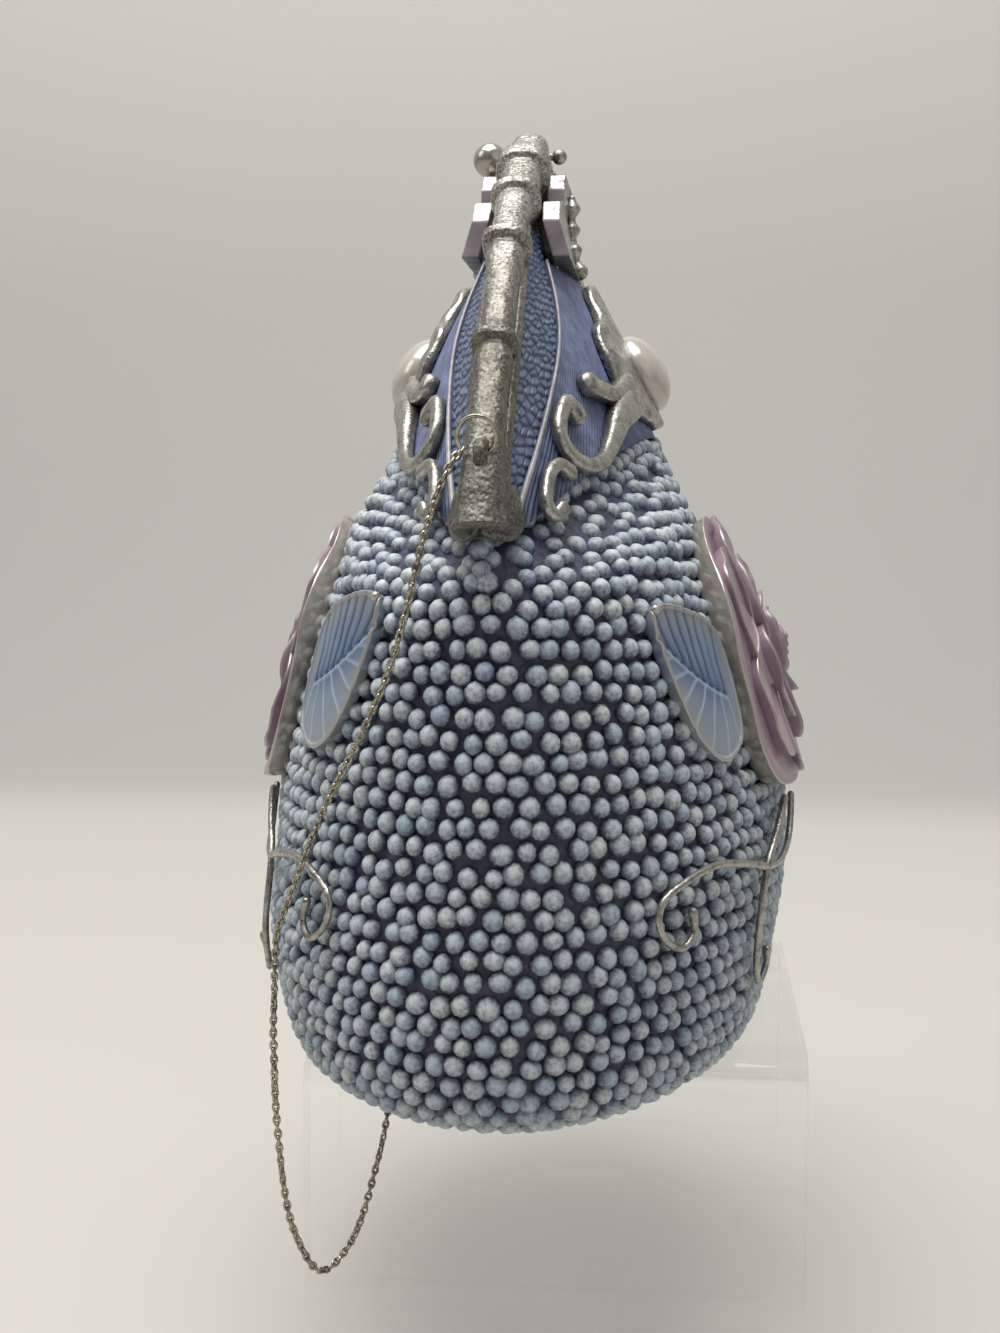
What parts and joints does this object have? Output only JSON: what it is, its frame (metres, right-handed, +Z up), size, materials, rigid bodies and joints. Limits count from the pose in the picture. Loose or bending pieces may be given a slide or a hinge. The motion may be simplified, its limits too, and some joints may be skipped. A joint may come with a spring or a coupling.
{
  "type": "beaded evening bag on display riser",
  "caption": "Miniature frame purse with beaded pouch, knuckled silver arch, pearl clasp, roses, leaves and fine chain, standing on a low clear bent riser.",
  "frame": {"origin": "centre of the base of the whole, on the surface it stands on", "axes": "+Z up; +X toward the near end of the bag, where the picture is taken from; +Y toward its back face"},
  "size_m": [0.0856, 0.054, 0.1167],
  "materials": {
    "acrylic": "clear polished acrylic",
    "beads": "painted beads, pale blue brushed over navy",
    "silver": "antique pitted silver",
    "pearl": "glossy cream pearl",
    "fan": "satin violet-blue paint",
    "gusset": "satin blue paint over scales",
    "rose": "satin mauve paint, silver petal edges",
    "leaf": "satin blue paint, silver rim",
    "chain": "dull silver"
  },
  "bodies": {
    "root": {"riser": "acrylic", "pouch": "beads", "arch_bar": "silver", "clasp_pearl_front": "pearl", "clasp_knob_back": "silver", "fan_panel_front": "fan", "fan_panel_back": "fan", "top_plaque_front": "silver", "top_plaque_back": "silver", "face_mount_front": "silver", "face_mount_back": "silver", "face_pearl_front": "pearl", "face_pearl_back": "pearl", "rose_front": "rose", "rose_back": "rose", "gusset_near_front": "gusset", "gusset_near_back": "gusset", "gusset_far_front": "gusset", "gusset_far_back": "gusset", "gusset_edge_near_front": "silver", "gusset_edge_near_back": "silver", "gusset_edge_far_front": "silver", "gusset_edge_far_back": "silver", "end_curl_near_front": "silver", "end_curl_near_back": "silver", "end_curl_far_front": "silver", "end_curl_far_back": "silver", "leaf_near_front": "leaf", "leaf_near_back": "leaf", "leaf_far_front": "leaf", "leaf_far_back": "leaf", "stem_near_front": "silver", "stem_near_back": "silver", "stem_far_front": "silver", "stem_far_back": "silver", "jump_ring_near": "chain", "jump_ring_far": "chain", "chain": "chain"}
  },
  "joints": []
}
